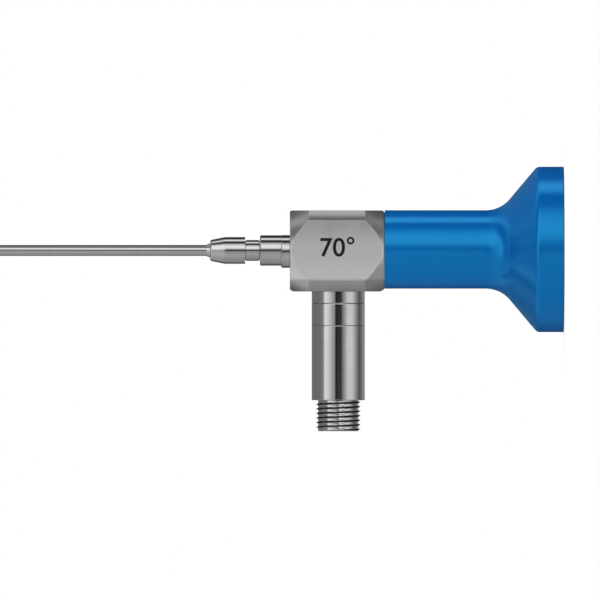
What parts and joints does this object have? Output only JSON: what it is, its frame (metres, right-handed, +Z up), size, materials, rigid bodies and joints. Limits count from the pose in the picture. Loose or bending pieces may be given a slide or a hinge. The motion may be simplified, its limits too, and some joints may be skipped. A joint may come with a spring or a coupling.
{
  "type": "rigid endoscope",
  "caption": "Slim rigid endoscope: flared eyepiece, square steel body with a threaded light post, stepped sheath lock and a thin shaft with a bevelled side-viewing tip.",
  "frame": {"origin": "centre of the eyecup's rear rim, on which the instrument stands", "axes": "+Z up along the optical axis to the tip, the light post points to -X, the tip looks to +X"},
  "size_m": [0.0508, 0.0318, 0.13],
  "materials": {
    "blue_eyepiece": "satin",
    "steel": "fine turned satin",
    "black_metal": "matt black",
    "glass": "polished",
    "fibre": "fine fibres",
    "seal": "matt"
  },
  "bodies": {
    "root": {"eyecup": "blue_eyepiece", "window_frame": "black_metal", "eyepiece_window": "glass", "window_gasket": "seal", "ocular_carrier": "steel", "body_seal": "seal", "ocular_cell": "black_metal", "eye_lens_rear": "glass", "lens_spacer": "black_metal", "eye_lens_front": "glass", "lens_ring": "black_metal", "field_stop": "black_metal", "cell_ring": "black_metal", "body": "steel", "optics_mount": "steel", "sheath_lock": "steel", "reinforcing_sleeve": "steel", "shaft_tube": "steel", "shaft_fibres": "fibre", "optics_tube": "steel", "distal_window": "glass", "distal_prism": "glass", "objective_lens": "glass", "rod_lenses": "glass", "rod_spacers": "black_metal", "fibre_bundle": "fibre", "post_base": "steel", "post_ring": "steel", "post_sleeve": "steel", "post_seal": "seal", "post_core": "steel", "fibre_ferrule": "steel", "light_cone": "glass"}
  },
  "joints": []
}
